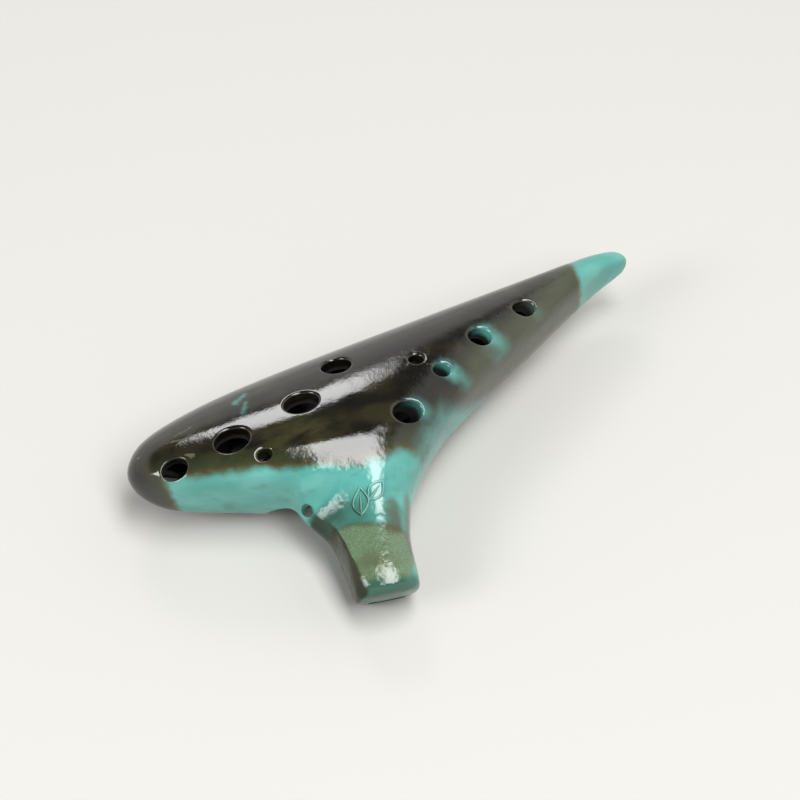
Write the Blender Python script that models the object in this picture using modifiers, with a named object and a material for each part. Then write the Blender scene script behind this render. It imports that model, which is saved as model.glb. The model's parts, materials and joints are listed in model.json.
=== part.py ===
"""Transverse ocarina of glazed, fired clay, with ten finger holes and two thumb holes.

The vessel is pressed as two half shells that meet on a parting plane, with a bead of
slip along the inside of the seam.  The mouthpiece is a roof and a floor that close round
the windway.  A window under its root opens the vessel, and the labium, a clay wedge set
into the lower shell, splits the air that the windway blows across the window.

Design frame, in millimetres: X runs from the lobe's end to the tail's tip, +Y is the
back and -Y the mouthpiece, +Z is the side with the finger holes, and Z = 0 is the
parting plane.  The empty "ocarina" carries every piece from there to the part's own
frame, whose origin is the bottom centre of the bounding box.
"""
import math

import bmesh
import bpy
from mathutils import Vector

MM = 0.001                              # metres in a millimetre

# ---- driving dimensions, in millimetres --------------------------------------------------
ORIGIN = (89.9, -40.7, -17.6)           # the part's origin, in the design frame
GAP = 0.3                               # clearance between pieces that meet
WALL = 4.6                              # wall of the vessel
LEVELS = 2                              # subdivision of the cages

# vessel sections: X, Y of the centre, half width, height of the upper half
SECTIONS = (
    (1.0, -14.9, 2.6, 2.2),
    (7.0, -14.4, 10.0, 9.2),
    (17.0, -15.1, 14.8, 11.0),
    (29.0, -16.4, 18.6, 13.0),
    (42.0, -18.5, 22.5, 14.7),
    (66.0, -19.2, 24.2, 16.1),
    (92.0, -15.7, 20.7, 15.3),
    (116.0, -10.4, 15.3, 13.2),
    (143.0, -4.7, 9.6, 10.1),
    (168.0, 1.0, 3.7, 7.0),
    (179.0, 0.6, 3.5, 3.1),
)
ROOT = 4                                # the mouthpiece grows between sections 4, 5 and 6
LOWER_SCALE = 1.12                      # depth of the lower half over the upper
RIDGE_SHIFT = 0.51                      # lean of the ridge to the mouthpiece, in half widths
KEEL_SHIFT = 0.20                       # the same for the keel, under the lower half
SHOULDER = 1.06                         # raise of the upper front quarter
FULLNESS = 1.08                         # squareness of the sections
SIDES = 8                               # points round a section
RING_LIMIT = 2.0 / 3.0 + math.sqrt(2.0) / 6.0   # what subdivision leaves of a ring's radius

# mouthpiece: rings on an axis that droops, with the top lip further out than the bottom
STEM_START = (57.2, -57.8, -5.4)
STEM_LEAN = math.radians(12.5)          # towards the lobe
STEM_DROOP = math.radians(7.0)
STEM_CORNER = 0.84                      # reach of a ring's corners
STEM_RINGS = (                          # distance, half width, half height, tilt, side, pinch, crown
    (-6.5, 14.4, 12.0, 0.0, 1.24, 0.23, 3.2),
    (2.0, 12.2, 10.3, 0.0, 0.89, 0.50, 1.4),
    (9.5, 10.0, 9.9, 4.0, 1.0, 0.88, 0.2),
    (17.5, 9.6, 9.6, 8.0, 1.0, 1.0, 0.0),
    (23.6, 9.3, 9.2, 20.0, 1.0, 1.0, 0.0),
    (26.2, 8.3, 5.6, 33.0, 1.0, 1.0, 0.0),
)
RIDGE_CREASE = (0.8, 0.8, 0.7, 0.45, 0.25, 0.0)    # sharpness of the ridge along its left
STEM_POINTS = ((-1, 1), (0, 1), (1, 1), (1, 0), (1, -1), (0, -1), (-1, -1), (-1, 0))
JOINT_Y = -52.0                         # the mouthpiece is luted to the vessel on this plane

# chamber: stations along X, and the least half width left at its ends
CHAMBER_X = (6.5, 10.0, 18.0, 29.0, 42.0, 66.0, 92.0, 116.0, 143.0, 157.0)
CHAMBER_LEAST = 0.8

# holes: X, Y, Z of the rim, bore, its ratio front to back, lean to the tail and lean to the
# back (as slopes), depth
FINGER_HOLES = (
    (11.9, -25.2, 9.6, 7.8, 0.80, -0.25, -0.40, 6.0),
    (30.2, -25.5, 13.4, 10.6, 0.82, 0.00, 0.00, 8.0),
    (53.8, -22.7, 15.2, 10.4, 0.82, 0.00, 0.10, 8.0),
    (70.5, -12.0, 13.1, 8.8, 1.00, 0.00, 0.25, 8.0),
    (36.1, -35.0, 13.2, 4.3, 0.85, -0.10, -0.15, 8.0),
    (80.2, -39.4, 14.0, 9.0, 0.80, 0.25, -0.25, 8.0),
    (97.0, -29.1, 14.3, 5.2, 0.92, 0.30, -0.15, 8.0),
    (91.9, -22.3, 15.2, 4.3, 0.95, 0.15, 0.05, 8.0),
    (114.5, -20.8, 13.1, 7.2, 0.95, 0.30, -0.10, 8.0),
    (133.1, -14.3, 10.5, 7.0, 0.85, 0.35, -0.10, 8.0),
)
THUMB_HOLES = (
    (40.0, -13.0, -16.2, 10.0, 1.0, 0.0, 0.0, 8.0),
    (103.0, -9.0, -16.0, 9.0, 1.0, 0.0, 0.0, 8.0),
)
HOLE_SIDES = 24
DRILL_ABOVE = 8.0                       # a drill starts this far outside the rim

# windway, window and labium
AIR_X = 61.5                            # middle of the window
WINDOW_FRONT = -37.0                    # Y of the windway's exit
WINDOW_BACK = -31.4                     # Y of the labium's edge
WINDOW_WIDTH = 10.6
WINDWAY_ROOF = -9.9                     # Z of the windway's flat roof
WINDWAY_EXIT = 1.5                      # height at the window
WINDWAY_MOUTH = 2.3                     # height at the lips
WINDWAY_WIDTH = 11.0                    # width at the lips
MOUTH_Y = -90.0                         # past the lips
LABIUM_EDGE = -10.9                     # Z of the underside of the labium's edge
LABIUM_LENGTH = 10.0
LABIUM_WIDTH = 13.6
RAMP_SLOPE = 0.85                       # fall of the labium's ramp over its run
RAMP_LEAD = 1.0                         # the ramp's cutter starts ahead of the edge

WINDOW_HIGH = -4.0                      # Z inside the chamber, over the window
WINDOW_LOW = -30.0                      # Z under the belly
WINDWAY_PAST = 1.0                      # the windway's cutter runs on into the window
SEAT_MARGIN = 0.6                       # the labium's seat starts ahead of its edge
RAMP_LOW = -40.0                        # Z under the ramp

STRAP_HOLE = (42.4, -48.8, -0.6)        # on the web between lobe and mouthpiece
STRAP_BORE = 3.6
STRAP_LEAN = (-0.60, -0.60)
STRAP_DEPTH = 9.0
SCOOP = (41.0, -45.0, -14.5)            # middle of the hollow under the web
SCOOP_RADII = (9.0, 14.0, 10.0)
BELLY_FLAT = -17.6                      # Z of the flat that the belly rests on
BEAD_RADIUS = 1.0
BEAD_INSET = 2.7                        # bead's centre line from the chamber's wall
BEAD_X = (10.5, 146.0)                  # reach of the bead's centre line
BEAD_POINTS = 56
BEAD_SWELL = 2.2                        # how soon the bead reaches its full width
BEAD_LEAST = 1.5                        # its least half width, in radii
SPACE_X = (-20.0, 200.0)                # blocks of space reach past the ocarina
FAR = 120.0
SHARP = math.radians(40.0)              # edges over this angle are drawn sharp


def clear_scene():
    """Remove every object that the file opened with."""
    for old in list(bpy.data.objects):
        bpy.data.objects.remove(old, do_unlink=True)


def collection(name):
    """A new collection in the scene."""
    made = bpy.data.collections.new(name)
    bpy.context.scene.collection.children.link(made)
    return made


def material(name, colour, roughness):
    """A Principled material."""
    made = bpy.data.materials.new(name)
    made.use_nodes = True
    shader = made.node_tree.nodes["Principled BSDF"]
    shader.inputs["Base Color"].default_value = (*colour, 1.0)
    shader.inputs["Roughness"].default_value = roughness
    shader.inputs["Metallic"].default_value = 0.0
    return made


def new_object(name, mesh, home, parent):
    """An object on the ocarina's empty, in one of the collections."""
    made = bpy.data.objects.new(name, mesh)
    made.parent = parent
    home.objects.link(made)
    return made


# ---- the cages ---------------------------------------------------------------------------
def section_ring(x, y, half_width, height):
    """Eight points round the vessel at X, counted from the back over the top."""
    ring = []
    for k in range(SIDES):
        angle = 2.0 * math.pi * k / SIDES
        reach = (FULLNESS if k % 2 else 1.0) / RING_LIMIT
        rise = height * math.sin(angle) * reach
        if k == 3:
            rise *= SHOULDER
        if rise < 0.0:
            rise *= LOWER_SCALE
        lean = (RIDGE_SHIFT if rise > 0.0 else KEEL_SHIFT) * half_width * abs(math.sin(angle))
        ring.append(Vector((x, y + half_width * math.cos(angle) * reach - lean, rise)))
    return ring


def stem_ring(distance, half_width, half_height, tilt, side, pinch, crown):
    """Eight points round the mouthpiece, from the upper left corner to the right."""
    along = Vector((-math.sin(STEM_LEAN) * math.cos(STEM_DROOP),
                    -math.cos(STEM_LEAN) * math.cos(STEM_DROOP),
                    -math.sin(STEM_DROOP)))
    across = Vector((math.cos(STEM_LEAN), -math.sin(STEM_LEAN), 0.0))
    outward = Vector((-math.sin(STEM_LEAN), -math.cos(STEM_LEAN), 0.0))
    turn = math.radians(tilt)
    upright = outward * math.sin(turn) + Vector((0.0, 0.0, math.cos(turn)))
    centre = Vector(STEM_START) + along * distance
    ring = []
    for s, t in STEM_POINTS:
        reach = (STEM_CORNER if s and t else 1.0) / RING_LIMIT
        if s < 0:
            s, t = s * side, t * pinch
        point = centre + across * (half_width * s * reach) + upright * (half_height * t * reach)
        if t > 0 and s >= 0:
            point += upright * (crown if s == 0 else crown / 2.0)
        ring.append(point)
    return ring


def body_cage(name, sections, with_stem):
    """Closed coarse cage of the vessel, with the mouthpiece grown from its front."""
    mesh = bpy.data.meshes.new(name)
    bm = bmesh.new()
    crease = bm.edges.layers.float.new("crease_edge")
    rings = []
    for i, row in enumerate(sections):
        buried = with_stem and i == ROOT + 1
        ring = [None if buried and k == 4 else bm.verts.new(point * MM)
                for k, point in enumerate(section_ring(*row))]
        rings.append(ring)
    for i in range(len(rings) - 1):
        for k in range(SIDES):
            if with_stem and i in (ROOT, ROOT + 1) and k in (3, 4):
                continue
            after = (k + 1) % SIDES
            bm.faces.new((rings[i][k], rings[i][after], rings[i + 1][after], rings[i + 1][k]))
    bm.faces.new(reversed(rings[0]))
    bm.faces.new(rings[-1])
    if with_stem:
        left, middle, right = rings[ROOT:ROOT + 3]
        loop = [left[3], middle[3], right[3], right[4], right[5], middle[5], left[5], left[4]]
        for row, sharpness in zip(STEM_RINGS, RIDGE_CREASE):
            after = [bm.verts.new(point * MM) for point in stem_ring(*row)]
            for k in range(SIDES):
                turn = (k + 1) % SIDES
                bm.faces.new((loop[k], loop[turn], after[turn], after[k]))
            bm.edges.get((loop[0], after[0]))[crease] = sharpness
            loop = after
        bm.faces.new(loop)
    bmesh.ops.recalc_face_normals(bm, faces=bm.faces)
    bm.to_mesh(mesh)
    bm.free()
    return mesh


def section_at(x):
    """Centre, half width and height of the vessel at X, between the sections."""
    for near, far in zip(SECTIONS, SECTIONS[1:]):
        if x <= far[0]:
            share = (x - near[0]) / (far[0] - near[0])
            return [a + (b - a) * share for a, b in zip(near[1:], far[1:])]
    return list(SECTIONS[-1][1:])


def chamber_sections():
    """The vessel's sections drawn in by the wall."""
    rows = []
    for x in CHAMBER_X:
        y, half_width, height = section_at(x)
        rows.append((x, y, max(half_width - WALL, CHAMBER_LEAST), max(height - WALL, CHAMBER_LEAST)))
    return rows


def subdivide(target):
    """Subdivision Surface at the same level in the viewport and the render."""
    smooth = target.modifiers.new("Subdivision", "SUBSURF")
    smooth.levels = LEVELS
    smooth.render_levels = LEVELS


# ---- cutters -----------------------------------------------------------------------------
def as_cutter(target):
    """Draw a cutter as wire and keep it out of the render."""
    target.hide_render = True
    target.display_type = "WIRE"
    return target


def hexahedron(name, corners, home, parent):
    """A cutter from a cube whose eight corners are moved; corners[i][j][k] is its point."""
    mesh = bpy.data.meshes.new(name)
    bm = bmesh.new()
    bmesh.ops.create_cube(bm, size=2.0)
    for vert in bm.verts:
        i, j, k = (int(value > 0.0) for value in vert.co)
        vert.co = Vector(corners[i][j][k]) * MM
    bm.to_mesh(mesh)
    bm.free()
    return as_cutter(new_object(name, mesh, home, parent))


def box(name, low, high, home, parent):
    """A box cutter between two corners."""
    ends = list(zip(low, high))
    corners = [[[(ends[0][i], ends[1][j], ends[2][k]) for k in (0, 1)] for j in (0, 1)]
               for i in (0, 1)]
    return hexahedron(name, corners, home, parent)


def wedge(name, x_ends, y_ends, low, high, home, parent):
    """A cutter whose floor and roof slope along Y: low and high hold near and far heights."""
    corners = [[[(x, y, z[j]) for z in (low, high)] for j, y in enumerate(y_ends)]
               for x in x_ends]
    return hexahedron(name, corners, home, parent)


def drill(name, row, home, parent, down=False):
    """An oval cutter through a point of the surface, leaning by a slope in X and one in Y."""
    x, y, z, bore, oval, lean_x, lean_y, depth = row
    axis = Vector((lean_x, lean_y, 1.0)).normalized()
    if down:
        axis = -axis
    mesh = bpy.data.meshes.new(name)
    bm = bmesh.new()
    bmesh.ops.create_cone(bm, cap_ends=True, segments=HOLE_SIDES, radius1=bore * MM / 2.0,
                          radius2=bore * MM / 2.0, depth=(DRILL_ABOVE + depth) * MM)
    bmesh.ops.scale(bm, vec=(1.0, oval, 1.0), verts=bm.verts)
    bm.to_mesh(mesh)
    bm.free()
    made = as_cutter(new_object(name, mesh, home, parent))
    made.rotation_mode = "QUATERNION"
    made.rotation_quaternion = Vector((0.0, 0.0, 1.0)).rotation_difference(axis)
    made.location = (Vector((x, y, z)) + axis * (DRILL_ABOVE - depth) / 2.0) * MM
    return made


def ellipsoid(name, centre, radii, home, parent):
    """A cutter with three radii."""
    mesh = bpy.data.meshes.new(name)
    bm = bmesh.new()
    bmesh.ops.create_uvsphere(bm, u_segments=24, v_segments=16, radius=1.0)
    for vert in bm.verts:
        vert.co = Vector([value * radius * MM for value, radius in zip(vert.co, radii)])
    bm.to_mesh(mesh)
    bm.free()
    made = as_cutter(new_object(name, mesh, home, parent))
    made.location = Vector(centre) * MM
    return made


def boolean(target, operation, cutter):
    """Add an exact Boolean to the target."""
    cut = target.modifiers.new(f"{operation} {cutter.name}", "BOOLEAN")
    cut.operation = operation
    cut.object = cutter
    cut.solver = "EXACT"


# ---- the pieces --------------------------------------------------------------------------
def piece(name, mesh, keep, cutters, finish, home, parent):
    """A piece of the solid form: what is inside keep, less the cutters."""
    made = new_object(name, mesh.copy(), home, parent)
    made.data.materials.append(finish)
    subdivide(made)
    boolean(made, "INTERSECT", keep)
    for cutter in cutters:
        boolean(made, "DIFFERENCE", cutter)
    made.data.shade_smooth()
    made.data.set_sharp_from_angle(angle=SHARP)
    return made


def seam_bead(finish, home, parent):
    """The bead of slip pressed along the inside of the seam, a closed ring."""
    middle = sum(BEAD_X) / 2.0
    half_length = BEAD_X[1] - middle
    curve = bpy.data.curves.new("seam_bead", "CURVE")
    curve.dimensions = "3D"
    curve.bevel_depth = BEAD_RADIUS * MM
    curve.bevel_resolution = 2
    line = curve.splines.new("POLY")
    line.use_cyclic_u = True
    line.points.add(BEAD_POINTS - 1)
    for i, point in enumerate(line.points):
        angle = 2.0 * math.pi * i / BEAD_POINTS
        x = middle - half_length * math.cos(angle)
        y, half_width, _ = section_at(x)
        reach = max(half_width - WALL - BEAD_INSET, BEAD_RADIUS * BEAD_LEAST)
        y += math.copysign(reach * min(1.0, BEAD_SWELL * abs(math.sin(angle))), math.sin(angle))
        point.co = (x * MM, y * MM, 0.0, 1.0)
    curve.materials.append(finish)
    return new_object("seam_bead", curve, home, parent)


def main():
    """Model the ocarina."""
    clear_scene()
    pieces = collection("ocarina")
    cutters = collection("cutters")
    root = bpy.data.objects.new("ocarina", None)
    root.location = -Vector(ORIGIN) * MM
    pieces.objects.link(root)

    dark_glaze = material("dark_glaze", (0.055, 0.045, 0.030), 0.12)
    belly_glaze = material("belly_glaze", (0.100, 0.095, 0.060), 0.14)
    green_glaze = material("green_glaze", (0.170, 0.300, 0.190), 0.18)
    turquoise_glaze = material("turquoise_glaze", (0.150, 0.450, 0.400), 0.14)
    bare_clay = material("bare_clay", (0.330, 0.200, 0.120), 0.75)

    form = body_cage("form", SECTIONS, True)
    chamber = as_cutter(new_object("chamber", body_cage("chamber", chamber_sections(), False),
                                   cutters, root))
    subdivide(chamber)

    # the blocks of space that each piece of the form fills
    west, east = SPACE_X
    half = GAP / 2.0
    vessel_front = JOINT_Y + half
    stem_back = JOINT_Y - half
    above = box("above", (west, vessel_front, half), (east, FAR, FAR), cutters, root)
    below = box("below", (west, vessel_front, BELLY_FLAT), (east, FAR, -half), cutters, root)
    roof_space = box("roof_space", (west, -FAR, WINDWAY_ROOF), (east, stem_back, FAR),
                     cutters, root)
    floor_space = box("floor_space", (west, -FAR, -FAR), (east, stem_back, WINDWAY_ROOF - GAP),
                      cutters, root)

    # the windway, straight from the lips to the window
    half_mouth = WINDWAY_WIDTH / 2.0
    half_window = WINDOW_WIDTH / 2.0
    run = math.tan(STEM_LEAN) * (WINDOW_FRONT - MOUTH_Y)
    lips_x = AIR_X - run
    windway = hexahedron("windway", [
        [[(lips_x - half_mouth, MOUTH_Y, WINDWAY_ROOF - WINDWAY_MOUTH),
          (lips_x - half_mouth, MOUTH_Y, WINDWAY_ROOF)],
         [(AIR_X - half_window, WINDOW_FRONT + WINDWAY_PAST, WINDWAY_ROOF - WINDWAY_EXIT),
          (AIR_X - half_window, WINDOW_FRONT + WINDWAY_PAST, WINDWAY_ROOF)]],
        [[(lips_x + half_mouth, MOUTH_Y, WINDWAY_ROOF - WINDWAY_MOUTH),
          (lips_x + half_mouth, MOUTH_Y, WINDWAY_ROOF)],
         [(AIR_X + half_window, WINDOW_FRONT + WINDWAY_PAST, WINDWAY_ROOF - WINDWAY_EXIT),
          (AIR_X + half_window, WINDOW_FRONT + WINDWAY_PAST, WINDWAY_ROOF)]]], cutters, root)
    window = box("window", (AIR_X - half_window, WINDOW_FRONT, WINDOW_LOW),
                 (AIR_X + half_window, WINDOW_BACK, WINDOW_HIGH), cutters, root)

    # the labium's seat in the lower shell, the block that fills it and the ramp under it
    seat_back = WINDOW_BACK + LABIUM_LENGTH
    half_labium = LABIUM_WIDTH / 2.0
    seat = box("labium_seat", (AIR_X - half_labium, WINDOW_BACK - SEAT_MARGIN, WINDOW_LOW),
               (AIR_X + half_labium, seat_back, WINDOW_HIGH), cutters, root)
    labium_space = box("labium_space",
                       (AIR_X - half_labium + GAP, WINDOW_BACK, BELLY_FLAT),
                       (AIR_X + half_labium - GAP, seat_back - GAP, WINDOW_HIGH), cutters, root)
    ramp_depth = LABIUM_EDGE - RAMP_SLOPE * LABIUM_LENGTH
    ramp = wedge("ramp", (AIR_X - half_window, AIR_X + half_window),
                 (WINDOW_BACK - RAMP_LEAD, seat_back), (RAMP_LOW, RAMP_LOW),
                 (LABIUM_EDGE + RAMP_SLOPE * RAMP_LEAD, ramp_depth), cutters, root)

    finger_drills = [drill(f"finger_drill_{n}", row, cutters, root)
                     for n, row in enumerate(FINGER_HOLES, 1)]
    thumb_drills = [drill(f"thumb_drill_{n}", row, cutters, root, down=True)
                    for n, row in enumerate(THUMB_HOLES, 1)]
    strap_drill = drill("strap_drill", (*STRAP_HOLE, STRAP_BORE, 1.0, *STRAP_LEAN, STRAP_DEPTH),
                        cutters, root)
    scoop = ellipsoid("scoop", SCOOP, SCOOP_RADII, cutters, root)

    piece("upper_shell", form, above, [chamber, strap_drill] + finger_drills, dark_glaze,
          pieces, root)
    piece("lower_shell", form, below,
          [chamber, scoop, strap_drill, windway, window, seat] + thumb_drills, belly_glaze, pieces, root)
    piece("mouthpiece_roof", form, roof_space, [scoop], turquoise_glaze, pieces, root)
    piece("mouthpiece_floor", form, floor_space, [scoop, windway], green_glaze, pieces, root)
    piece("labium", form, labium_space, [chamber, ramp], green_glaze, pieces, root)
    seam_bead(bare_clay, pieces, root)


main()
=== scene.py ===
"""Looks of the glazed clay ocarina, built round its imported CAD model.

The glazed pieces are modelled again at a fine resolution from the same dimensions as the
CAD pieces that they stand for: the same coarse form, subdivided further, with the finger
holes cut by cutters that follow the surface, so that each rim is rounded over.  Positions
are in millimetres in the design frame (X from the lobe to the tail, -Y the mouthpiece, Z
up from the parting plane) and are moved to the part's frame, in metres, as they are used.
"""
import json
import math

import bmesh
import bpy
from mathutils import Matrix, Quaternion, Vector
from mathutils.bvhtree import BVHTree

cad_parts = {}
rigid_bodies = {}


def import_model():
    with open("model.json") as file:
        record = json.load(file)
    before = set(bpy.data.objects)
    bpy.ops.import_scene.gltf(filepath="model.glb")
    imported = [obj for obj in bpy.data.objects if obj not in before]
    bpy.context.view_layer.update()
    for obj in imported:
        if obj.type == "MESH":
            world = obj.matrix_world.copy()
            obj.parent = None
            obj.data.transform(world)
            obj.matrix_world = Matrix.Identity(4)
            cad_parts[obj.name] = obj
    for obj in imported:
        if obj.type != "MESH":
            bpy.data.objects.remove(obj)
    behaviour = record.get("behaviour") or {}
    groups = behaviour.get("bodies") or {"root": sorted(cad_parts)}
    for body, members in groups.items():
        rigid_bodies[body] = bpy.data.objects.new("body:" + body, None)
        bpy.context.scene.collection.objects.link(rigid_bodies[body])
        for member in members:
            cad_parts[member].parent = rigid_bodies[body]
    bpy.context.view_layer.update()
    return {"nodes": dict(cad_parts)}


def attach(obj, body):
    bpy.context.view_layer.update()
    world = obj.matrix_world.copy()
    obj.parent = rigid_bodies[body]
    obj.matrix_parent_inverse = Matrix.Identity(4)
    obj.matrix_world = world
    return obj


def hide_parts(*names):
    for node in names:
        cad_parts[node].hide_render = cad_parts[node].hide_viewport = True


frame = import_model()

MM = 0.001

# ---- dimensions that the CAD model has too ------------------------------------------------
ORIGIN = Vector((89.9, -40.7, -17.6))
WALL = 4.6
SECTIONS = (
    (1.0, -14.9, 2.6, 2.2),
    (7.0, -14.4, 10.0, 9.2),
    (17.0, -15.1, 14.8, 11.0),
    (29.0, -16.4, 18.6, 13.0),
    (42.0, -18.5, 22.5, 14.7),
    (66.0, -19.2, 24.2, 16.1),
    (92.0, -15.7, 20.7, 15.3),
    (116.0, -10.4, 15.3, 13.2),
    (143.0, -4.7, 9.6, 10.1),
    (168.0, 1.0, 3.7, 7.0),
    (179.0, 0.6, 3.5, 3.1),
)
ROOT = 4
LOWER_SCALE = 1.12
RIDGE_SHIFT = 0.51
KEEL_SHIFT = 0.20
SHOULDER = 1.06
FULLNESS = 1.08
SIDES = 8
RING_LIMIT = 2.0 / 3.0 + math.sqrt(2.0) / 6.0
STEM_START = Vector((57.2, -57.8, -5.4))
STEM_LEAN = math.radians(12.5)
STEM_DROOP = math.radians(7.0)
STEM_CORNER = 0.84
# distance, half width, half height, tilt, side, pinch, crown
STEM_RINGS = (
    (-6.5, 14.4, 12.0, 0.0, 1.24, 0.23, 3.2),
    (2.0, 12.2, 10.3, 0.0, 0.89, 0.50, 1.4),
    (9.5, 10.0, 9.9, 4.0, 1.0, 0.88, 0.2),
    (17.5, 9.6, 9.6, 8.0, 1.0, 1.0, 0.0),
    (23.6, 9.3, 9.2, 20.0, 1.0, 1.0, 0.0),
    (26.2, 8.3, 5.6, 33.0, 1.0, 1.0, 0.0),
)
RIDGE_CREASE = (0.8, 0.8, 0.7, 0.45, 0.25, 0.0)    # sharpness of the ridge along its left
STEM_POINTS = ((-1, 1), (0, 1), (1, 1), (1, 0), (1, -1), (0, -1), (-1, -1), (-1, 0))
JOINT_Y = -52.0
CHAMBER_X = (6.5, 10.0, 18.0, 29.0, 42.0, 66.0, 92.0, 116.0, 143.0, 157.0)
CHAMBER_LEAST = 0.8
FINGER_HOLES = (                        # place, bore, its ratio front to back, lean, depth
    (11.9, -25.2, 9.6, 7.8, 0.80, -0.25, -0.40, 6.0),
    (30.2, -25.5, 13.4, 10.6, 0.82, 0.00, 0.00, 8.0),
    (53.8, -22.7, 15.2, 10.4, 0.82, 0.00, 0.10, 8.0),
    (70.5, -12.0, 13.1, 8.8, 1.00, 0.00, 0.25, 8.0),
    (36.1, -35.0, 13.2, 4.3, 0.85, -0.10, -0.15, 8.0),
    (80.2, -39.4, 14.0, 9.0, 0.80, 0.25, -0.25, 8.0),
    (97.0, -29.1, 14.3, 5.2, 0.92, 0.30, -0.15, 8.0),
    (91.9, -22.3, 15.2, 4.3, 0.95, 0.15, 0.05, 8.0),
    (114.5, -20.8, 13.1, 7.2, 0.95, 0.30, -0.10, 8.0),
    (133.1, -14.3, 10.5, 7.0, 0.85, 0.35, -0.10, 8.0),
)
THUMB_HOLES = (
    (40.0, -13.0, -16.2, 10.0, 1.0, 0.0, 0.0, 8.0),
    (103.0, -9.0, -16.0, 9.0, 1.0, 0.0, 0.0, 8.0),
)
AIR_X = 61.5
WINDOW_FRONT = -37.0
WINDOW_BACK = -31.4
WINDOW_WIDTH = 10.6
WINDWAY_ROOF = -9.9
WINDWAY_EXIT = 1.5
WINDWAY_MOUTH = 2.3
WINDWAY_WIDTH = 11.0
MOUTH_Y = -90.0
LABIUM_LENGTH = 10.0
LABIUM_WIDTH = 13.6
STRAP_HOLE = (42.4, -48.8, -0.6)
STRAP_BORE = 3.6
STRAP_LEAN = (-0.60, -0.60)
STRAP_DEPTH = 9.0
SCOOP = (41.0, -45.0, -14.5)
SCOOP_RADII = (9.0, 14.0, 10.0)
BELLY_FLAT = -17.6

# ---- dimensions of the looks ---------------------------------------------------------------
FINE = 5                                # subdivision of the glazed form
RIM = 1.1                               # rounding of a hole's rim
RIM_SIDES = 64
RIM_STEPS = 6
LIFT = 0.004                            # how far a rim's rounding starts above the surface
RIM_CLEAR = 12.0                        # how far a hole's cutter stands above the surface
PROBE_START = 10.0                      # where a ray towards the surface starts, above a hole
PROBE_REACH = 60.0                      # and how far it looks
NO_SURFACE = -10.0                      # the height taken where it meets nothing
STRAP_RIM = 0.6
STRAP_OVAL = 1.0
CHAMBER_FINE = 4                        # subdivision of the chamber
POCKET_LOW = -30.0                      # the window's and the labium seat's cutters, from below
POCKET_HIGH = -4.0
WINDWAY_LAP = 1.0                       # how far the windway runs into the window
SEAT_LAP = 0.6                          # how far the labium's seat runs into the window
FAR = 120.0                             # further out than any part of the ocarina
SPACE_X = (-20.0, 200.0)                # the same to both ends
SOLVER = "MANIFOLD"
SHARP = math.radians(40.0)              # edges sharper than this aren't smoothed over
LEAF_VEIN = 0.44                        # radius of the motif's lines
LEAF_STEPS = 24
LEAF_BASE = 1.15                        # a leaf is fuller towards its base
LEAF_TAPER = 0.3
MIDRIB = 0.75                           # the midrib's share of a leaf's length
MIDRIB_THIN = 0.55                      # and how thin it is at its ends
MIDRIB_PEAK = 1.2
LEAF_DROP = 30.0                        # height from which a leaf is laid on the surface
MOTIF = (                               # centre, heading in degrees, length, width of each leaf
    ((55.4, -57.8, 0.0), 66.0, 7.6, 4.4),
    ((60.6, -57.2, 0.0), 28.0, 6.8, 4.0),
)

work = bpy.data.collections.new("work")
bpy.context.scene.collection.children.link(work)


def placed(point):
    """A point of the design frame, in the part's frame, in metres."""
    return (Vector(point) - ORIGIN) * MM


# ---- the coarse form -----------------------------------------------------------------------
def section_ring(x, y, half_width, height):
    """Eight points round the vessel at X, counted from the back over the top."""
    ring = []
    for k in range(SIDES):
        angle = 2.0 * math.pi * k / SIDES
        reach = (FULLNESS if k % 2 else 1.0) / RING_LIMIT
        rise = height * math.sin(angle) * reach
        if k == 3:
            rise *= SHOULDER
        if rise < 0.0:
            rise *= LOWER_SCALE
        lean = (RIDGE_SHIFT if rise > 0.0 else KEEL_SHIFT) * half_width * abs(math.sin(angle))
        ring.append(Vector((x, y + half_width * math.cos(angle) * reach - lean, rise)))
    return ring


def stem_ring(distance, half_width, half_height, tilt, side, pinch, crown):
    """Eight points round the mouthpiece, from the upper left corner to the right."""
    along = Vector((-math.sin(STEM_LEAN) * math.cos(STEM_DROOP),
                    -math.cos(STEM_LEAN) * math.cos(STEM_DROOP),
                    -math.sin(STEM_DROOP)))
    across = Vector((math.cos(STEM_LEAN), -math.sin(STEM_LEAN), 0.0))
    outward = Vector((-math.sin(STEM_LEAN), -math.cos(STEM_LEAN), 0.0))
    turn = math.radians(tilt)
    upright = outward * math.sin(turn) + Vector((0.0, 0.0, math.cos(turn)))
    centre = STEM_START + along * distance
    ring = []
    for s, t in STEM_POINTS:
        reach = (STEM_CORNER if s and t else 1.0) / RING_LIMIT
        if s < 0:
            s, t = s * side, t * pinch
        point = centre + across * (half_width * s * reach) + upright * (half_height * t * reach)
        if t > 0 and s >= 0:
            point += upright * (crown if s == 0 else crown / 2.0)
        ring.append(point)
    return ring


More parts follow.
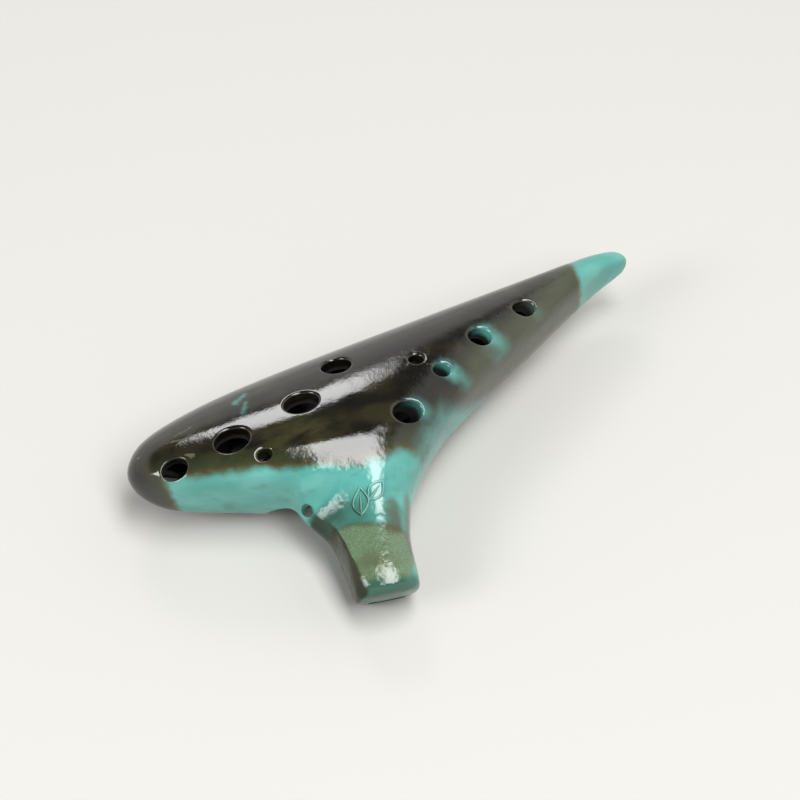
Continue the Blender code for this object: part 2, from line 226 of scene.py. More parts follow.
def body_cage(name, sections, with_stem):
    """Closed coarse cage of the vessel, with the mouthpiece grown from its front."""
    mesh = bpy.data.meshes.new(name)
    bm = bmesh.new()
    crease = bm.edges.layers.float.new("crease_edge")
    rings = []
    for i, row in enumerate(sections):
        buried = with_stem and i == ROOT + 1
        ring = [None if buried and k == 4 else bm.verts.new(placed(point))
                for k, point in enumerate(section_ring(*row))]
        rings.append(ring)
    for i in range(len(rings) - 1):
        for k in range(SIDES):
            if with_stem and i in (ROOT, ROOT + 1) and k in (3, 4):
                continue
            after = (k + 1) % SIDES
            bm.faces.new((rings[i][k], rings[i][after], rings[i + 1][after], rings[i + 1][k]))
    bm.faces.new(reversed(rings[0]))
    bm.faces.new(rings[-1])
    if with_stem:
        left, middle, right = rings[ROOT:ROOT + 3]
        loop = [left[3], middle[3], right[3], right[4], right[5], middle[5], left[5], left[4]]
        for row, sharpness in zip(STEM_RINGS, RIDGE_CREASE):
            after = [bm.verts.new(placed(point)) for point in stem_ring(*row)]
            for k in range(SIDES):
                turn = (k + 1) % SIDES
                bm.faces.new((loop[k], loop[turn], after[turn], after[k]))
            bm.edges.get((loop[0], after[0]))[crease] = sharpness
            loop = after
        bm.faces.new(loop)
    bmesh.ops.recalc_face_normals(bm, faces=bm.faces)
    bm.to_mesh(mesh)
    bm.free()
    return mesh


def section_at(x):
    """Centre, half width and height of the vessel at X, between the sections."""
    for near, far in zip(SECTIONS, SECTIONS[1:]):
        if x <= far[0]:
            share = (x - near[0]) / (far[0] - near[0])
            return [a + (b - a) * share for a, b in zip(near[1:], far[1:])]
    return list(SECTIONS[-1][1:])


def chamber_sections():
    """The vessel's sections drawn in by the wall."""
    rows = []
    for x in CHAMBER_X:
        y, half_width, height = section_at(x)
        rows.append((x, y, max(half_width - WALL, CHAMBER_LEAST),
                     max(height - WALL, CHAMBER_LEAST)))
    return rows


def work_object(name, mesh):
    """A helper object, out of the render."""
    made = bpy.data.objects.new(name, mesh)
    made.hide_render = True
    work.objects.link(made)
    return made


def applied(target):
    """The target's mesh with its modifiers applied."""
    bpy.context.view_layer.update()
    graph = bpy.context.evaluated_depsgraph_get()
    return bpy.data.meshes.new_from_object(target.evaluated_get(graph))


def fine_form(name, cage, levels):
    """A cage subdivided and applied."""
    rough = work_object(name, cage)
    smooth = rough.modifiers.new("Subdivision", "SUBSURF")
    smooth.levels = levels
    smooth.render_levels = levels
    mesh = applied(rough)
    bpy.data.objects.remove(rough)
    return mesh


# ---- cutters -------------------------------------------------------------------------------
def hexahedron(name, corners):
    """A cutter with eight corners; corners[i][j][k] is a point."""
    mesh = bpy.data.meshes.new(name)
    bm = bmesh.new()
    bmesh.ops.create_cube(bm, size=2.0)
    for vert in bm.verts:
        i, j, k = (int(value > 0.0) for value in vert.co)
        vert.co = placed(corners[i][j][k])
    bm.to_mesh(mesh)
    bm.free()
    return work_object(name, mesh)


def box(name, low, high):
    """A box cutter between two corners."""
    ends = list(zip(low, high))
    corners = [[[(ends[0][i], ends[1][j], ends[2][k]) for k in (0, 1)] for j in (0, 1)]
               for i in (0, 1)]
    return hexahedron(name, corners)


def ellipsoid(name, centre, radii):
    """A cutter with three radii."""
    mesh = bpy.data.meshes.new(name)
    bm = bmesh.new()
    bmesh.ops.create_uvsphere(bm, u_segments=48, v_segments=32, radius=1.0)
    for vert in bm.verts:
        vert.co = placed(Vector(centre) + Vector([v * r for v, r in zip(vert.co, radii)]))
    bm.to_mesh(mesh)
    bm.free()
    return work_object(name, mesh)


def turned(name, rings):
    """A closed cutter through rings of points, one after another."""
    mesh = bpy.data.meshes.new(name)
    bm = bmesh.new()
    loops = [[bm.verts.new(point) for point in ring] for ring in rings]
    for near, far in zip(loops, loops[1:]):
        for k in range(len(near)):
            after = (k + 1) % len(near)
            bm.faces.new((near[k], near[after], far[after], far[k]))
    bm.faces.new(reversed(loops[0]))
    bm.faces.new(loops[-1])
    bmesh.ops.recalc_face_normals(bm, faces=bm.faces)
    bm.to_mesh(mesh)
    bm.free()
    return work_object(name, mesh)


def rim_profile(surface, centre, axis, out, radius, rim):
    """Points of a rim in one half plane, from above the surface to the hole's wall."""
    reach = radius + rim
    heights = []
    for distance in (reach - rim / 2.0, reach, reach + rim / 2.0):
        start = centre + (out * distance + axis * PROBE_START) * MM
        hit = surface.ray_cast(start, -axis, PROBE_REACH * MM)[0]
        heights.append((hit - centre).dot(axis) / MM if hit else NO_SURFACE)
    slope = (heights[2] - heights[0]) / rim
    top = heights[1] + LIFT
    corner = top - slope * rim
    points = [(reach, top + RIM_CLEAR)]
    for step in range(RIM_STEPS + 1):
        t = step / RIM_STEPS
        across = reach * (1 - t) ** 2 + radius * 2 * t * (1 - t) + radius * t ** 2
        height = top * (1 - t) ** 2 + corner * 2 * t * (1 - t) + (corner - rim) * t ** 2
        points.append((across, height))
    return points


def hole_cutter(name, surface, row, rim=RIM, down=False):
    """A hole whose rim is rounded over where it meets the surface."""
    x, y, z, bore, oval, lean_x, lean_y, depth = row
    point = (x, y, z)
    axis = Vector((lean_x, lean_y, 1.0)).normalized()
    if down:
        axis = -axis
    side = Vector((0.0, 1.0, 0.0)).cross(axis).normalized()
    other = axis.cross(side)
    centre = placed(point)
    columns = []
    for k in range(RIM_SIDES):
        angle = 2.0 * math.pi * k / RIM_SIDES
        out = side * math.cos(angle) + other * (oval * math.sin(angle))
        radius = bore / 2.0 * out.length
        profile = rim_profile(surface, centre, axis, out.normalized(), radius, rim)
        profile.append((radius, -depth))
        out.normalize()
        columns.append([centre + (out * across + axis * height) * MM for across, height in profile])
    return turned(name, list(zip(*columns)))


def cut(target, operation, cutters):
    """Apply Booleans to the target one after another."""
    for cutter in cutters:
        step = target.modifiers.new("cut", "BOOLEAN")
        step.operation = operation
        step.object = cutter
        step.solver = SOLVER
        target.data = applied(target)
        target.modifiers.clear()


def glazed_pieces():
    """The fine form with its holes, split into the pieces that it is made of."""
    form_mesh = fine_form("form", body_cage("form", SECTIONS, True), FINE)
    surface = BVHTree.FromPolygons([v.co for v in form_mesh.vertices],
                                   [p.vertices for p in form_mesh.polygons])
    hollow = body_cage("chamber", chamber_sections(), False)
    chamber = work_object("chamber", fine_form("chamber", hollow, CHAMBER_FINE))
    drills = [hole_cutter(f"finger_{n}", surface, row) for n, row in enumerate(FINGER_HOLES, 1)]
    drills += [hole_cutter(f"thumb_{n}", surface, row, down=True)
               for n, row in enumerate(THUMB_HOLES, 1)]
    strap_row = (*STRAP_HOLE, STRAP_BORE, STRAP_OVAL, *STRAP_LEAN, STRAP_DEPTH)
    strap = [hole_cutter("strap_top", surface, strap_row, rim=STRAP_RIM)]
    scoop = ellipsoid("scoop", SCOOP, SCOOP_RADII)
    half_mouth = WINDWAY_WIDTH / 2.0
    half_window = WINDOW_WIDTH / 2.0
    lips_x = AIR_X - math.tan(STEM_LEAN) * (WINDOW_FRONT - MOUTH_Y)
    windway = hexahedron("windway", [
        [[(lips_x + s * half_mouth, MOUTH_Y, WINDWAY_ROOF - WINDWAY_MOUTH),
          (lips_x + s * half_mouth, MOUTH_Y, WINDWAY_ROOF)],
         [(AIR_X + s * half_window, WINDOW_FRONT + WINDWAY_LAP, WINDWAY_ROOF - WINDWAY_EXIT),
          (AIR_X + s * half_window, WINDOW_FRONT + WINDWAY_LAP, WINDWAY_ROOF)]] for s in (-1, 1)])
    window = box("window", (AIR_X - half_window, WINDOW_FRONT, POCKET_LOW),
                 (AIR_X + half_window, WINDOW_BACK, POCKET_HIGH))
    half_labium = LABIUM_WIDTH / 2.0
    seat = box("labium_seat", (AIR_X - half_labium, WINDOW_BACK - SEAT_LAP, POCKET_LOW),
               (AIR_X + half_labium, WINDOW_BACK + LABIUM_LENGTH, POCKET_HIGH))
    belly = box("belly", (SPACE_X[0], -FAR, -FAR), (SPACE_X[1], FAR, BELLY_FLAT))

    whole = work_object("whole", form_mesh)
    cut(whole, "DIFFERENCE", [chamber, windway, window, seat, scoop, belly] + strap + drills)
    west, east = SPACE_X
    spaces = (("upper_shell", (west, JOINT_Y, 0.0), (east, FAR, FAR)),
              ("lower_shell", (west, JOINT_Y, -FAR), (east, FAR, 0.0)),
              ("mouthpiece_roof", (west, -FAR, WINDWAY_ROOF), (east, JOINT_Y, FAR)),
              ("mouthpiece_floor", (west, -FAR, -FAR), (east, JOINT_Y, WINDWAY_ROOF)))
    made = {}
    for node, low, high in spaces:
        made[node] = work_object(f"glazed_{node}", whole.data.copy())
        cut(made[node], "INTERSECT", [box(f"{node}_space", low, high)])
    return made, surface


# ---- materials -----------------------------------------------------------------------------
class Nodes:
    """A small way of writing a node tree as arithmetic on sockets."""

    def __init__(self, material):
        material.use_nodes = True
        self.tree = material.node_tree
        self.shader = self.tree.nodes["Principled BSDF"]

    def node(self, kind, inputs=(), **settings):
        """A node with its inputs set or linked; inputs holds (socket, value or socket) pairs."""
        made = self.tree.nodes.new(kind)
        for key, value in settings.items():
            setattr(made, key, value)
        for socket, value in inputs:
            if isinstance(value, bpy.types.NodeSocket):
                self.tree.links.new(value, made.inputs[socket])
            else:
                made.inputs[socket].default_value = value
        return made

    def math(self, operation, *values):
        """One Math node."""
        return self.node("ShaderNodeMath", list(enumerate(values)), operation=operation).outputs[0]

    def vector(self, operation, *values, out=0):
        """One Vector Math node."""
        return self.node("ShaderNodeVectorMath", list(enumerate(values)),
                         operation=operation).outputs[out]

    def noise(self, point, size, detail=2.0, rough=0.5, out="Fac"):
        """Noise whose features are about size millimetres across."""
        return self.node("ShaderNodeTexNoise",
                         [("Vector", point), ("Scale", 1.0 / size), ("Detail", detail),
                          ("Roughness", rough)]).outputs[out]

    def plane(self, point, normal, offset):
        """Distance in front of a plane, for a normal of about unit length."""
        return self.math("ADD", self.vector("DOT_PRODUCT", point, normal, out="Value"), offset)

    def ball(self, point, centre, radii):
        """About how far inside an ellipsoid the point is."""
        away = self.vector("SUBTRACT", point, centre)
        scaled = self.vector("DIVIDE", away, radii)
        length = self.vector("LENGTH", scaled, out="Value")
        return self.math("MULTIPLY", self.math("SUBTRACT", 1.0, length), min(radii))

    def streak(self, point, start, end, radius):
        """How far inside a capsule between two points the point is."""
        run = Vector(end) - Vector(start)
        away = self.vector("SUBTRACT", point, start)
        share = self.vector("DOT_PRODUCT", away, run, out="Value")
        share = self.math("DIVIDE", share, run.length_squared)
        share = self.node("ShaderNodeClamp", [("Value", share)]).outputs[0]
        near = self.node("ShaderNodeVectorMath", [(0, run), ("Scale", share)],
                         operation="SCALE").outputs[0]
        gap = self.vector("LENGTH", self.vector("SUBTRACT", away, near), out="Value")
        return self.math("SUBTRACT", radius, gap)

    def soft(self, value, low, high):
        """0 below low, 1 above high, smooth between."""
        return self.node("ShaderNodeMapRange",
                         [("Value", value), ("From Min", low), ("From Max", high)],
                         interpolation_type="SMOOTHSTEP", clamp=True).outputs[0]

    def mix(self, share, first, second):
        """A colour between two, each a socket or three numbers."""
        ends = [end if isinstance(end, bpy.types.NodeSocket) else (*end, 1.0)
                for end in (first, second)]
        return self.node("ShaderNodeMix", [(0, share), (6, ends[0]), (7, ends[1])],
                         data_type="RGBA", clamp_factor=True).outputs[2]

    def cover(self, under, over, share, strength):
        """A colour laid over another, as thickly as the product of two shares."""
        return self.mix(self.math("MULTIPLY", share, strength), under, over)

    def between(self, share, none, full):
        """A value between two, without smoothing."""
        return self.node("ShaderNodeMapRange",
                         [("Value", share), ("To Min", none), ("To Max", full)]).outputs[0]

    def part(self, point, axis):
        """One coordinate of a point."""
        return self.node("ShaderNodeSeparateXYZ", [("Vector", point)]).outputs[axis]

    def bump(self, height):
        """The normal of a relief given in millimetres."""
        return self.node("ShaderNodeBump",
                         [("Strength", 1.0), ("Distance", MM), ("Height", height)]).outputs[0]

    def wire(self, socket, value):
        """Link a value to the material's shader."""
        self.tree.links.new(value, self.shader.inputs[socket])


# ---- colours, linear -----------------------------------------------------------------------
BLACK_BROWN = (0.0035, 0.0033, 0.0024)
WARM_BROWN = (0.018, 0.0155, 0.0070)
OLIVE = (0.028, 0.026, 0.010)
MOSS = (0.024, 0.032, 0.014)
FRINGE = (0.045, 0.036, 0.012)
GREY_OLIVE = (0.050, 0.055, 0.032)
TURQUOISE = (0.0522, 0.238, 0.2088)
PALE_TURQUOISE = (0.092, 0.305, 0.272)
# colour of the painted shade in the hollow where the mouthpiece joins the body
ROOT_SHADE_TEAL = (0.0336, 0.1188, 0.0928)
DEEP_TURQUOISE = (0.016, 0.070, 0.052)
STEM_GREEN = (0.1148, 0.2068, 0.1275)
STEM_OLIVE = (0.0656, 0.0864, 0.0413)
SCRATCH = (0.075, 0.075, 0.045)
CLAY = (0.0045, 0.0030, 0.0022)
WARM_CLAY = (0.010, 0.006, 0.004)

# ---- where the colours lie -----------------------------------------------------------------
# planes, as a normal and an offset, with the colour in front of them
LOBE_FRONT = ((-0.40, -0.92, -0.25), -18.4)
LOBE_END = ((1.0, -0.35, 0.25), -19.5)
ROOT_EDGE = ((0.0, -1.0, 0.0), -49.5)
FLANK_EDGE = ((0.58, -0.80, -0.25), -85.0)
FLANK_END = ((-0.63, 0.0, -0.77), 63.0)
TIP_EDGE = ((1.0, 0.0, 0.0), -156.5)
SIDE_EDGE = ((0.42, -0.85, -0.30), -60.0)
STEM_EDGE = ((-0.537, -0.844, 0.0), -25.9)
LIPS_RIGHT = ((0.707, -0.707, 0.0), -100.3)
LIPS_END = ((0.0, -1.0, 0.0), -72.0)
LOWER_LIP = ((-0.20, -0.78, -0.58), -53.6)
WALL_MIDDLE = ((0.0, -1.0, 0.0), -68.0)
# ellipsoids, as a centre and three radii
FRONT_CLOUD = ((38.0, -35.0, 13.0), (27.0, 12.0, 14.0))
# where that painted shade lies, round the mouthpiece's root
ROOT_SHADE_BALL = ((53.0, -59.0, 0.0), (17.0, 11.0, 12.0))
DULL_PATCH = ((49.5, -79.0, -2.0), (11.0, 12.0, 9.0))
# runs and marks, as a start, an end and a radius, then a strength where it differs
SMEAR = ((70.0, -36.5, 15.9), (76.5, -38.0, 14.8), 3.0)
BURN = ((63.3, -61.8, 3.4), (60.4, -68.5, 2.4), 2.4)
HOLE_RUNS = (
    ((116.6, -22.3, 12.2), (120.5, -24.6, 9.2), 1.6, 0.42),
    ((116.2, -19.5, 12.5), (117.6, -21.0, 10.5), 2.0, 0.90),
    ((114.0, -25.0, 10.0), (117.0, -27.0, 8.0), 0.8, 0.30),
    ((98.7, -28.4, 13.4), (99.6, -30.0, 12.6), 1.5, 0.85),
    ((100.0, -31.0, 12.4), (103.5, -34.0, 9.7), 1.0, 0.38),
    ((83.4, -38.0, 13.2), (84.6, -40.0, 12.4), 1.6, 0.50),
    ((135.5, -14.6, 9.4), (136.5, -16.0, 8.0), 0.8, 0.25),
)
SPLASHES = (
    ((38.0, -11.4, 11.6), (42.2, -8.6, 10.8), 1.3),
    ((37.4, -16.8, 13.2), (40.4, -13.4, 12.6), 0.8),
    ((5.6, -13.5, 5.9), (5.2, -12.2, 5.4), 0.4),
)
SCRATCHES = (
    ((13.6, -15.2, 10.4), (19.8, -17.6, 10.9), 0.30, 0.9),
    ((15.4, -18.0, 11.0), (21.0, -16.4, 11.3), 0.25, 0.8),
    ((17.0, -13.8, 10.4), (22.5, -13.2, 10.8), 0.25, 0.7),
    ((16.6, -23.4, 11.4), (18.2, -24.6, 11.2), 0.55, 0.9),
    ((86.0, -17.0, 15.6), (95.0, -27.0, 15.0), 0.30, 0.6),
    ((88.0, -24.0, 15.6), (93.5, -19.0, 15.2), 0.25, 0.6),
)

# ---- the glaze's surface -------------------------------------------------------------------
GLAZE_IOR = 1.55
WET_GLOSS = 0.5                         # specular level of the glaze, and lower down the mouthpiece's left wall, where shade is painted
LEFT_WALL_GLOSS = 0.15
GLAZE_ROUGHNESS = 0.05
BARE_ROUGHNESS = 0.75
CLAY_ROUGHNESS = 0.85
GRAIN = 0.026                           # height of the fine grain everywhere
ROOT_GRAIN = 0.040                      # and what the root and the tail add to it
TAIL_GRAIN = 0.014
LUMPS = 4.5                             # height of the root's lumps over its grain
SWELL = 0.080


def glaze_ground(g, place, run, thick):
    """Near-black, with olive clouds at the front and grey-olive down the tail's side, and
    greener towards the turquoise."""
    cloud = g.noise(place, 16.0, 3.0, 0.55)
    streaks = g.noise(g.vector("MULTIPLY", place, (0.35, 1.0, 1.0)), 5.0, 4.0, 0.6)
    ground = g.mix(g.soft(cloud, 0.45, 0.75), BLACK_BROWN, WARM_BROWN)
    front = g.soft(g.ball(run, *FRONT_CLOUD), -2.0, 6.0)
    ground = g.cover(ground, OLIVE, front, g.soft(streaks, 0.35, 0.70))
    side = g.math("MULTIPLY", g.soft(g.plane(run, *SIDE_EDGE), 0.0, 9.0),
                  g.soft(g.part(run, "X"), 96.0, 108.0))
    streaked = g.math("ADD", 0.45, g.math("MULTIPLY", streaks, 0.6))
    ground = g.cover(ground, GREY_OLIVE, side, streaked)
    ground = g.cover(ground, MOSS, g.soft(thick, -8.0, -0.5), 0.75)
    return g.mix(g.soft(thick, -2.2, -0.2), ground, FRINGE)


def glaze_turquoise(g, place, veil):
    """The turquoise, paler in veils and stained with olive."""
    turquoise = g.mix(g.soft(veil, 0.30, 0.75), TURQUOISE, PALE_TURQUOISE)
    stain = g.noise(g.vector("MULTIPLY", place, (0.45, 1.0, 1.0)), 4.0, 4.0, 0.62)
    return g.cover(turquoise, GREY_OLIVE, g.soft(stain, 0.52, 0.76), 0.32)


def glaze_runs(g, place, run, colour, turquoise):
    """Glaze that ran from the holes towards the front and the tail, and splashes at the back."""
    drift = g.math("MULTIPLY", g.noise(place, 2.2, 3.0, 0.6), 1.6)
    for start, end, radius, strength in HOLE_RUNS:
        pool = g.math("SUBTRACT", g.streak(run, start, end, radius), drift)
        colour = g.cover(colour, turquoise, g.soft(pool, -4.2, 1.4), strength)
    colour = g.cover(colour, OLIVE, g.soft(g.streak(run, *SMEAR), -2.0, 1.0), 0.5)
    for start, end, radius in SPLASHES:
        splash = g.math("SUBTRACT", g.streak(run, start, end, radius),
                        g.math("MULTIPLY", drift, 0.9))
        colour = g.cover(colour, TURQUOISE, g.soft(splash, -1.2, 0.8), 0.7)
    return colour


def glaze_mouthpiece(g, place, run, colour, turquoise):
    """Speckled green towards turquoise lips, and painted shade in warm brown down the left wall,
    whose share comes back with the colour."""
    facing = g.part(g.node("ShaderNodeTexCoord").outputs["Normal"], "X")
    stem = g.plane(run, *STEM_EDGE)
    patch = g.noise(place, 6.0, 3.0, 0.5)
    speckle = g.noise(place, 0.34, 2.0, 0.7)
    green = g.mix(g.soft(speckle, 0.30, 0.75), STEM_OLIVE, STEM_GREEN)
    dull = g.soft(g.ball(run, *DULL_PATCH), 0.0, 6.0)
    green = g.cover(green, STEM_OLIVE, dull, g.soft(patch, 0.30, 0.65))
    colour = g.mix(g.soft(stem, -1.0, 1.2), colour, green)
    brim = g.soft(g.math("MULTIPLY", g.math("ABSOLUTE", stem), -1.0), -1.6, -0.2)
    colour = g.cover(colour, FRINGE, brim, g.math("MULTIPLY", patch, 0.9))
    lips = g.math("MINIMUM", g.plane(run, *LIPS_RIGHT), g.plane(run, *LIPS_END))
    colour = g.mix(g.soft(lips, -2.0, 2.0), colour, turquoise)
    colour = g.cover(colour, DEEP_TURQUOISE, g.soft(g.plane(run, *LOWER_LIP), -1.0, 2.0), 0.85)
    colour = g.cover(colour, FRINGE, g.soft(g.streak(run, *BURN), -1.8, 1.4), 0.80)
    middle = g.soft(g.math("ABSOLUTE", g.plane(run, *WALL_MIDDLE)), 11.0, 8.0)
    right_wall = g.math("MULTIPLY", g.soft(facing, 0.55, 0.85), middle)
    colour = g.cover(colour, GREY_OLIVE, right_wall, 0.75)
    # painted shade: the wall that faces left is darkened with warm brown
    left_wall = g.math("MULTIPLY", g.soft(facing, -0.50, -0.72),
                       g.soft(g.part(run, "Y"), -48.5, -52.0))
    clouded = g.math("ADD", 0.70, g.math("MULTIPLY", patch, 0.35))
    return g.cover(colour, WARM_BROWN, left_wall, clouded), left_wall


def glaze_marks(g, place, fray, colour):
    """Scratches, rubbed spots and pinprick specks."""
    frayed = g.vector("ADD", place, g.vector("MULTIPLY", fray, (2.2, 2.2, 2.2)))
    for start, end, radius, strength in SCRATCHES:
        scratch = g.streak(frayed, start, end, radius)
        colour = g.cover(colour, SCRATCH, g.soft(scratch, -0.35, 0.2), strength)
    specks = g.soft(g.noise(place, 0.50, 1.0, 0.5), 0.78, 0.84)
    return g.cover(colour, PALE_TURQUOISE, specks, 0.30)


def glaze_height(g, place, run):
    """The glaze's relief in millimetres: a grain all over, coarser and lumpy at the root."""
    grain = g.noise(place, 0.9, 4.0, 0.62)
    swell = g.noise(place, 5.0, 1.0)
    rough_root = g.math("MULTIPLY", g.soft(g.part(run, "Y"), -40.0, -54.0), ROOT_GRAIN)
    rough_tail = g.math("MULTIPLY", g.soft(g.part(run, "X"), 62.0, 78.0), TAIL_GRAIN)
    grain_height = g.math("ADD", g.math("MAXIMUM", rough_root, rough_tail), GRAIN)
    lumps = g.math("MULTIPLY", g.noise(place, 2.6, 1.0), g.math("MULTIPLY", rough_root, LUMPS))
    height = g.math("ADD", g.math("MULTIPLY", grain, grain_height),
                    g.math("MULTIPLY", swell, SWELL))
    return g.math("ADD", height, lumps)


def glaze(name):
    """The reactive glaze: near-black over the back, turquoise where it ran thick, and every green
    and brown between, over clay that shows bare inside the chamber."""
    material = bpy.data.materials.new(name)
    g = Nodes(material)
    coordinates = g.node("ShaderNodeTexCoord").outputs["Object"]
    place = g.vector("ADD", g.vector("MULTIPLY", coordinates, (1.0 / MM,) * 3), ORIGIN)
    wander = g.vector("SUBTRACT", g.noise(place, 9.0, 2.0, out="Color"), (0.5, 0.5, 0.5))
    fray = g.vector("SUBTRACT", g.noise(place, 1.6, 4.0, 0.6, out="Color"), (0.5, 0.5, 0.5))
    run = g.vector("ADD", place, g.vector("MULTIPLY", wander, (4.0, 4.0, 4.0)))
    run = g.vector("ADD", run, g.vector("MULTIPLY", fray, (1.2, 1.2, 1.2)))

    # where the turquoise is thick: the lobe's front, the root of the mouthpiece, the tail's tip
    lobe = g.math("MINIMUM", g.plane(run, *LOBE_FRONT), g.plane(run, *LOBE_END))
    flank = g.math("MINIMUM", g.plane(run, *FLANK_EDGE), g.plane(run, *FLANK_END))
    thick = g.math("MAXIMUM", g.math("MAXIMUM", lobe, g.plane(run, *ROOT_EDGE)),
                   g.plane(run, *TIP_EDGE))

    veil = g.noise(g.vector("MULTIPLY", place, (0.4, 1.0, 1.0)), 7.0, 2.0, 0.4)
    turquoise = glaze_turquoise(g, place, veil)
    colour = glaze_ground(g, place, run, thick)
    colour = g.mix(g.soft(flank, -6.0, 4.0), colour, turquoise)
    colour = g.mix(g.soft(thick, -1.0, 1.8), colour, turquoise)
    # painted shade: darker teal in the hollow where the mouthpiece joins the body
    deep = g.soft(g.ball(run, *ROOT_SHADE_BALL), 0.0, 7.0)
    colour = g.cover(colour, ROOT_SHADE_TEAL, deep, g.soft(veil, 0.95, 0.40))
    colour = glaze_runs(g, place, run, colour, turquoise)
    colour, wall_shade = glaze_mouthpiece(g, place, run, colour, turquoise)
    colour = glaze_marks(g, place, fray, colour)

    # bare clay inside
    depth = g.node("ShaderNodeAttribute", [], attribute_name="depth").outputs["Fac"]
    ragged = g.math("MULTIPLY", g.noise(place, 1.5), 1.2)
    inside = g.soft(g.math("ADD", depth, ragged), 2.6, 4.4)
    g.wire("Base Color", g.mix(inside, colour, CLAY))
    g.wire("Roughness", g.between(inside, GLAZE_ROUGHNESS, BARE_ROUGHNESS))
    g.wire("Specular IOR Level", g.between(wall_shade, WET_GLOSS, LEFT_WALL_GLOSS))
    g.wire("Normal", g.bump(glaze_height(g, place, run)))
    g.shader.inputs["IOR"].default_value = GLAZE_IOR
    return material


def bare_clay(name):
    """Fired clay and slip without glaze, darkened by the kiln's smoke."""
    material = bpy.data.materials.new(name)
    g = Nodes(material)
    coordinates = g.node("ShaderNodeTexCoord").outputs["Object"]
    place = g.vector("MULTIPLY", coordinates, (1.0 / MM,) * 3)
    smoke = g.noise(place, 3.0, 3.0)
    grit = g.noise(place, 0.5, 2.0, 0.7)
    g.wire("Base Color", g.mix(g.soft(smoke, 0.35, 0.70), CLAY, WARM_CLAY))
    height = g.math("ADD", g.math("MULTIPLY", grit, 0.12), g.math("MULTIPLY", smoke, 0.25))
    g.wire("Normal", g.bump(height))
    g.shader.inputs["Roughness"].default_value = CLAY_ROUGHNESS
    return material


def leaf(name, surface, centre, heading, length, width):
    """Outline and midrib of a leaf in relief, half sunk in the glaze."""
    turn = math.radians(heading)
    ahead = Vector((math.cos(turn), math.sin(turn), 0.0))
    aside = Vector((-ahead.y, ahead.x, 0.0))
    curve = bpy.data.curves.new(name, "CURVE")
    curve.dimensions = "3D"
    curve.bevel_depth = LEAF_VEIN * MM
    curve.bevel_resolution = 3
    curve.use_fill_caps = True
    for bulge in (-1.0, 0.0, 1.0):
        line = curve.splines.new("POLY")
        line.points.add(LEAF_STEPS)
        for i, point in enumerate(line.points):
            t = i / LEAF_STEPS
            reach = (MIDRIB if bulge == 0.0 else 1.0) * t - 0.5
            across = bulge * width / 2.0 * math.sin(math.pi * t) * (LEAF_BASE - LEAF_TAPER * t)
            over = Vector(centre) + ahead * (reach * length) + aside * across
            above = placed(over) + Vector((0.0, 0.0, LEAF_DROP * MM))
            hit = surface.ray_cast(above, Vector((0.0, 0.0, -1.0)))[0]
            point.co = (*hit, 1.0)
            point.radius = 1.0
            if bulge == 0.0:
                swelling = math.sin(math.pi * min(t * MIDRIB_PEAK, 1.0))
                point.radius = MIDRIB_THIN + (1.0 - MIDRIB_THIN) * swelling
    raised = work_object(name, curve)
    mesh = applied(raised)
    bpy.data.objects.remove(raised)
    return work_object(name, mesh)


def finished(made, material, body="root"):
    """Show a piece with its material, riding a body."""
    made.hide_render = False
    for group in list(made.users_collection):
        group.objects.unlink(made)
    bpy.context.scene.collection.objects.link(made)
    made.data.materials.clear()
    made.data.materials.append(material)
    made.data.shade_smooth()
    made.data.set_sharp_from_angle(angle=SHARP)
    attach(made, body)


def add_depth(mesh, surface):
    """Store how deep each point lies under the outer surface, in millimetres."""
    depth = mesh.attributes.new("depth", "FLOAT", "POINT")
    depth.data.foreach_set("value", [surface.find_nearest(v.co)[3] / MM for v in mesh.vertices])


# ---- the pieces ----------------------------------------------------------------------------
coat = glaze("glaze")
glazed, surface = glazed_pieces()
for node, made in glazed.items():
    add_depth(made.data, surface)
    finished(made, coat)
    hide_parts(node)
for n, (centre, heading, length, width) in enumerate(MOTIF, 1):
    relief = leaf(f"relief_leaf_{n}", surface, centre, heading, length, width)
    finished(relief, coat)
clay = bare_clay("clay")
for node in ("labium", "seam_bead"):
    for place in frame["nodes"][node].material_slots:
        place.material = clay
for helper in list(work.objects):
    bpy.data.objects.remove(helper)
bpy.data.collections.remove(work)

# ---- camera --------------------------------------------------------------------------------
VIEW_AZIMUTH = math.radians(-27.2)
VIEW_ELEVATION = math.radians(46.0)
DISTANCE = 800.0                        # from the aim to the camera
LENS = 120.2
AIM = (80.0, -20.0, 0.0)
camera = bpy.data.cameras.new("camera")
camera.sensor_width = 36.0
camera.lens = LENS
camera.shift_x = 0.029
camera.shift_y = 0.0033
camera.clip_start = 0.05
camera.clip_end = 20.0
viewer = bpy.data.objects.new("camera", camera)
bpy.context.scene.collection.objects.link(viewer)
back = Vector((math.sin(VIEW_AZIMUTH) * math.cos(VIEW_ELEVATION),
               -math.cos(VIEW_AZIMUTH) * math.cos(VIEW_ELEVATION),
               math.sin(VIEW_ELEVATION)))
viewer.location = placed(AIM) + back * DISTANCE * MM
viewer.rotation_mode = "QUATERNION"
viewer.rotation_quaternion = back.to_track_quat("Z", "Y")
bpy.context.scene.camera = viewer
bpy.context.scene.view_settings.view_transform = "Standard"

# ---- floor and light -----------------------------------------------------------------------
FLOOR = 1.3                             # half the floor's side, in metres
PAPER = (0.445, 0.440, 0.420, 1.0)
PAPER_ROUGHNESS = 0.9
PAPER_GLOSS = 0.2
floor_mesh = bpy.data.meshes.new("floor")
corners = [(-FLOOR, -FLOOR, 0.0), (FLOOR, -FLOOR, 0.0), (FLOOR, FLOOR, 0.0), (-FLOOR, FLOOR, 0.0)]
floor_mesh.from_pydata(corners, [], [(0, 1, 2, 3)])
floor = bpy.data.objects.new("floor", floor_mesh)
bpy.context.scene.collection.objects.link(floor)
paper = bpy.data.materials.new("paper")
paper.use_nodes = True
matt = paper.node_tree.nodes["Principled BSDF"]
matt.inputs["Base Color"].default_value = PAPER
matt.inputs["Roughness"].default_value = PAPER_ROUGHNESS
matt.inputs["Specular IOR Level"].default_value = PAPER_GLOSS
floor_mesh.materials.append(paper)

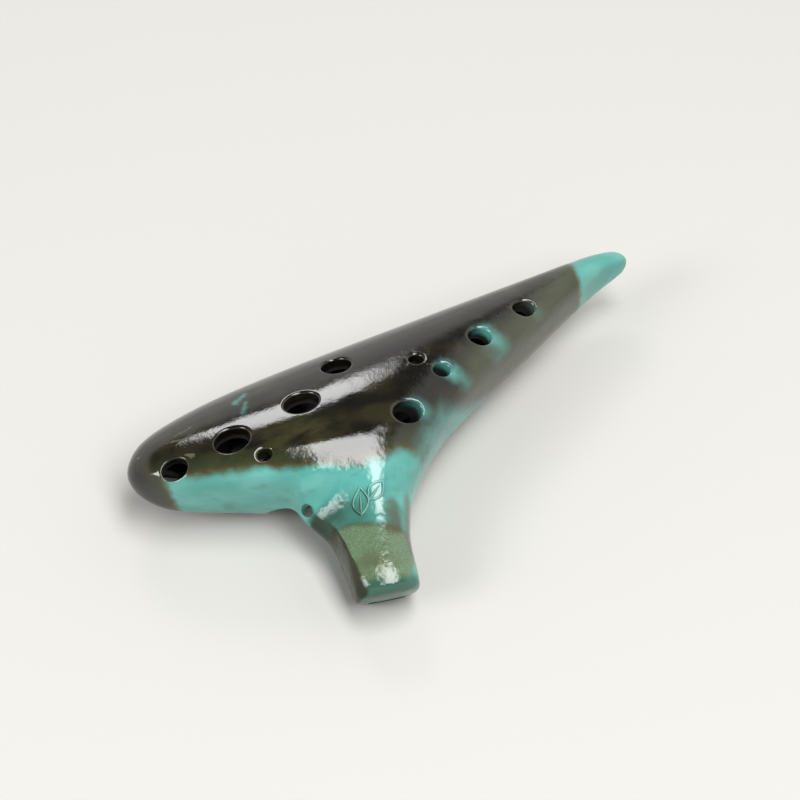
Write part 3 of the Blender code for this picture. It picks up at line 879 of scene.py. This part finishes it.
BOX_DISTANCE = 1.5                      # in metres, like the soft boxes' sides
BOX_AIM = Vector((0.0, 0.02, 0.02))
SOFT_BOXES = (                          # zenith, azimuth, width, height, roll, radiance
    ("back_box", 53.5, 13.0, 0.46, 0.32, 14.0, 9.0),
    ("top_box", 23.0, 165.0, 0.58, 1.80, -26.0, 11.5),
    ("side_box", 60.0, -93.0, 0.62, 0.52, 0.0, 12.0),
)


def softbox(name, zenith, azimuth, width, height, roll, radiance):
    """A soft box that faces the ocarina; azimuth counts from the back towards the tail."""
    z, a = math.radians(zenith), math.radians(azimuth)
    towards = Vector((math.sin(z) * math.sin(a), math.sin(z) * math.cos(a), math.cos(z)))
    lamp = bpy.data.lights.new(name, "AREA")
    lamp.shape = "RECTANGLE"
    lamp.size = width
    lamp.size_y = height
    lamp.energy = radiance * math.pi * width * height
    made = bpy.data.objects.new(name, lamp)
    bpy.context.scene.collection.objects.link(made)
    made.location = towards * BOX_DISTANCE + BOX_AIM
    made.rotation_mode = "QUATERNION"
    turn = towards.to_track_quat("Z", "Y")
    made.rotation_quaternion = turn @ Quaternion((0, 0, 1), math.radians(roll))


for row in SOFT_BOXES:
    softbox(*row)

# the room: bright low down all round, darker above, with a pale wall beyond the tail
HORIZON = 0.90
OVERHEAD = 0.13
PALE_WALL = 0.95
ROOM_LIGHT = (1.0, 0.99, 0.945, 1.0)
HORIZON_EDGE = (0.36, 0.52)             # heights between which the low light fades
WALL_EDGE = (0.47, 0.50)                # how far towards the tail the pale wall starts
WALL_TOP = (0.84, 0.87)                 # and how high it ends
world = bpy.data.worlds.new("world")
bpy.context.scene.world = world
world.use_nodes = True
sky = world.node_tree
direction = sky.nodes.new("ShaderNodeTexCoord")
split = sky.nodes.new("ShaderNodeSeparateXYZ")
sky.links.new(direction.outputs["Generated"], split.inputs[0])


def sky_step(socket, low, high, bottom, top):
    """A smooth step of a sky value."""
    step = sky.nodes.new("ShaderNodeMapRange")
    step.interpolation_type = "SMOOTHSTEP"
    for name, value in (("From Min", low), ("From Max", high), ("To Min", bottom), ("To Max", top)):
        step.inputs[name].default_value = value
    sky.links.new(socket, step.inputs["Value"])
    return step.outputs[0]


def sky_math(operation, first, second):
    """A Math node of the sky between two sockets."""
    made = sky.nodes.new("ShaderNodeMath")
    made.operation = operation
    sky.links.new(first, made.inputs[0])
    sky.links.new(second, made.inputs[1])
    return made.outputs[0]


low_sky = sky_step(split.outputs["Z"], *HORIZON_EDGE, HORIZON, OVERHEAD)
beyond_tail = sky_step(split.outputs["X"], *WALL_EDGE, 0.0, PALE_WALL)
below_top = sky_step(split.outputs["Z"], *WALL_TOP, 1.0, 0.0)
glow = sky_math("MAXIMUM", low_sky, sky_math("MULTIPLY", beyond_tail, below_top))
sky.links.new(glow, sky.nodes["Background"].inputs["Strength"])
sky.nodes["Background"].inputs["Color"].default_value = ROOM_LIGHT
